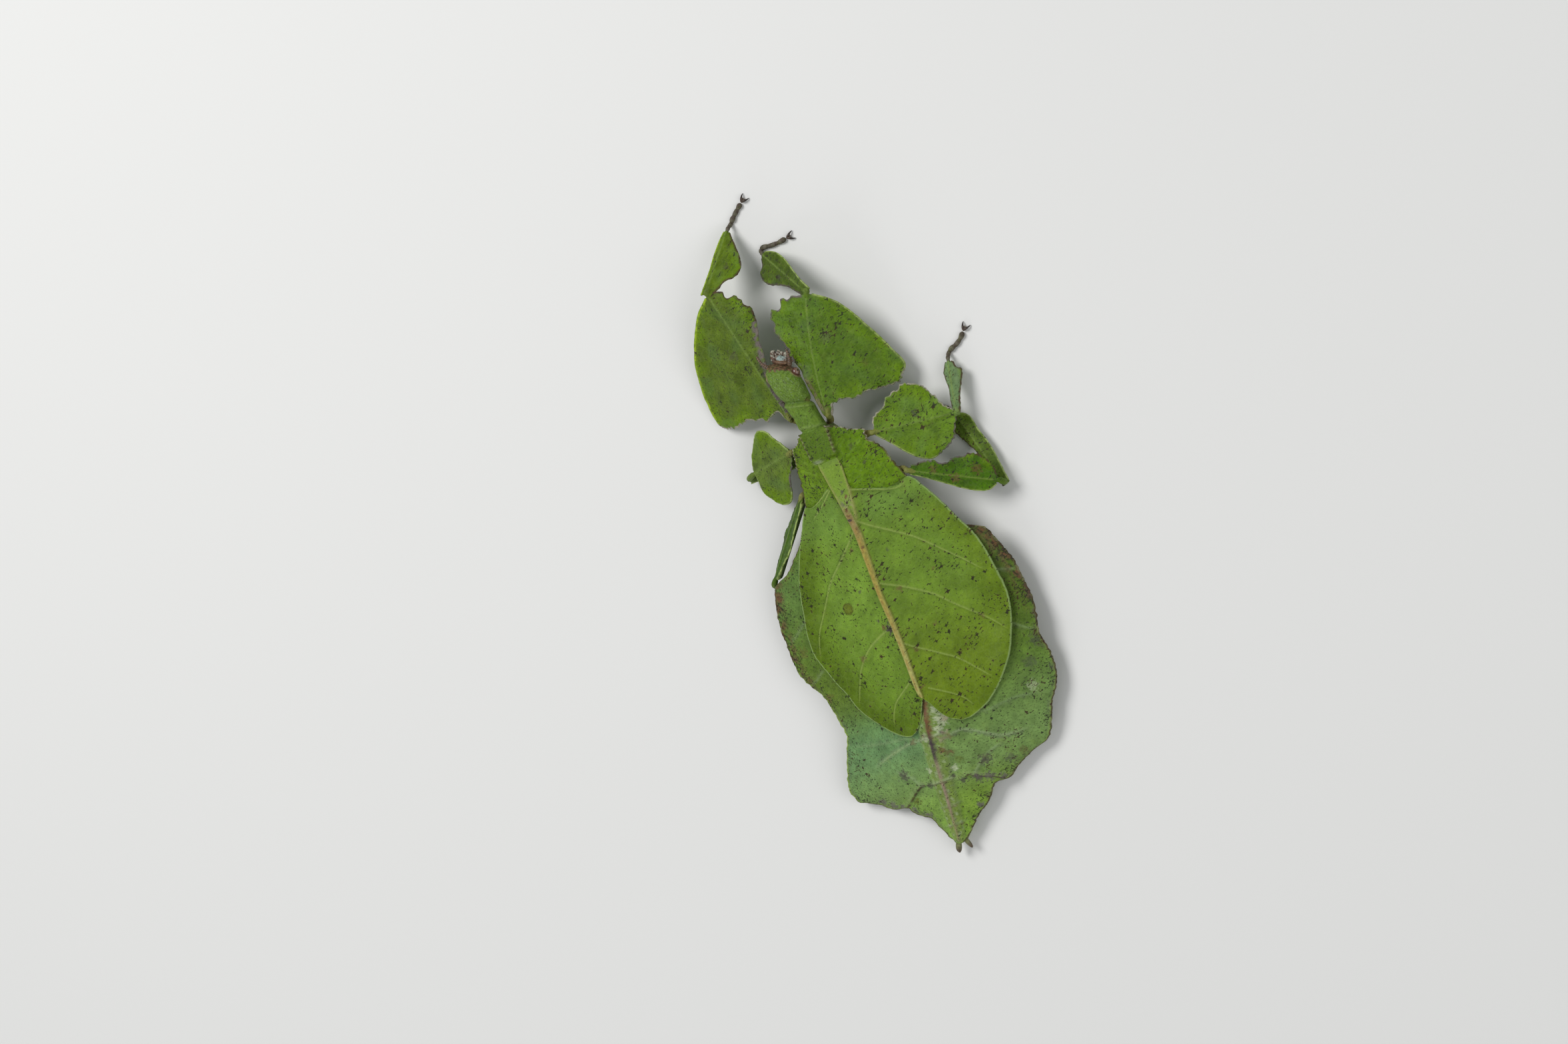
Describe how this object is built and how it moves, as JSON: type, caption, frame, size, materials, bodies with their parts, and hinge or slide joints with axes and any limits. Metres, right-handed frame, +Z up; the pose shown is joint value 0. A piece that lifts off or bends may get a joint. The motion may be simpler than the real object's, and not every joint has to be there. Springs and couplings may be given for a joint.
{
  "type": "leaf insect",
  "caption": "Adult female leaf insect at life size, lying flat with folded veined wings, leaf-like body margins and lobed legs, forelegs stretched ahead of the head.",
  "frame": {"origin": "middle of the insect's footprint box, on the floor", "axes": "+X to the insect's right, +Y forwards past the head, +Z up from the floor"},
  "size_m": [0.06, 0.1392, 0.0143],
  "materials": {
    "leaf_green": "satin, finely pitted",
    "wing_green": "satin, veined",
    "limb_brown": "satin",
    "eye": "glossy"
  },
  "bodies": {
    "root": {"head": "leaf_green", "prothorax": "leaf_green", "mesothorax": "leaf_green", "metathorax": "leaf_green", "abdomen_front": "leaf_green", "abdomen_seventh": "leaf_green", "abdomen_tip": "leaf_green", "forewing_right": "wing_green", "forewing_left": "wing_green", "eye_right": "eye", "eye_left": "eye", "mouthparts": "limb_brown", "antenna_right": "limb_brown", "antenna_left": "limb_brown", "cercus_right": "limb_brown", "cercus_left": "limb_brown", "coxa_fore_right": "limb_brown", "coxa_fore_left": "limb_brown", "coxa_mid_right": "limb_brown", "coxa_mid_left": "limb_brown", "coxa_hind_right": "limb_brown", "coxa_hind_left": "limb_brown", "femur_fore_right": "leaf_green", "femur_fore_left": "leaf_green", "femur_mid_right": "leaf_green", "femur_mid_left": "leaf_green", "femur_hind_right": "leaf_green", "femur_hind_left": "leaf_green", "tibia_fore_right": "leaf_green", "tibia_fore_left": "leaf_green", "tibia_mid_right": "leaf_green", "tibia_mid_left": "leaf_green", "tibia_hind_right": "leaf_green", "tibia_hind_left": "leaf_green", "tarsus_fore_right": "limb_brown", "tarsus_fore_left": "limb_brown", "tarsus_mid_right": "limb_brown", "tarsus_mid_left": "limb_brown", "tarsus_hind_right": "limb_brown", "tarsus_hind_left": "limb_brown", "claws_fore_right": "limb_brown", "claws_fore_left": "limb_brown", "claws_mid_right": "limb_brown", "claws_mid_left": "limb_brown", "claws_hind_right": "limb_brown", "claws_hind_left": "limb_brown"}
  },
  "joints": []
}
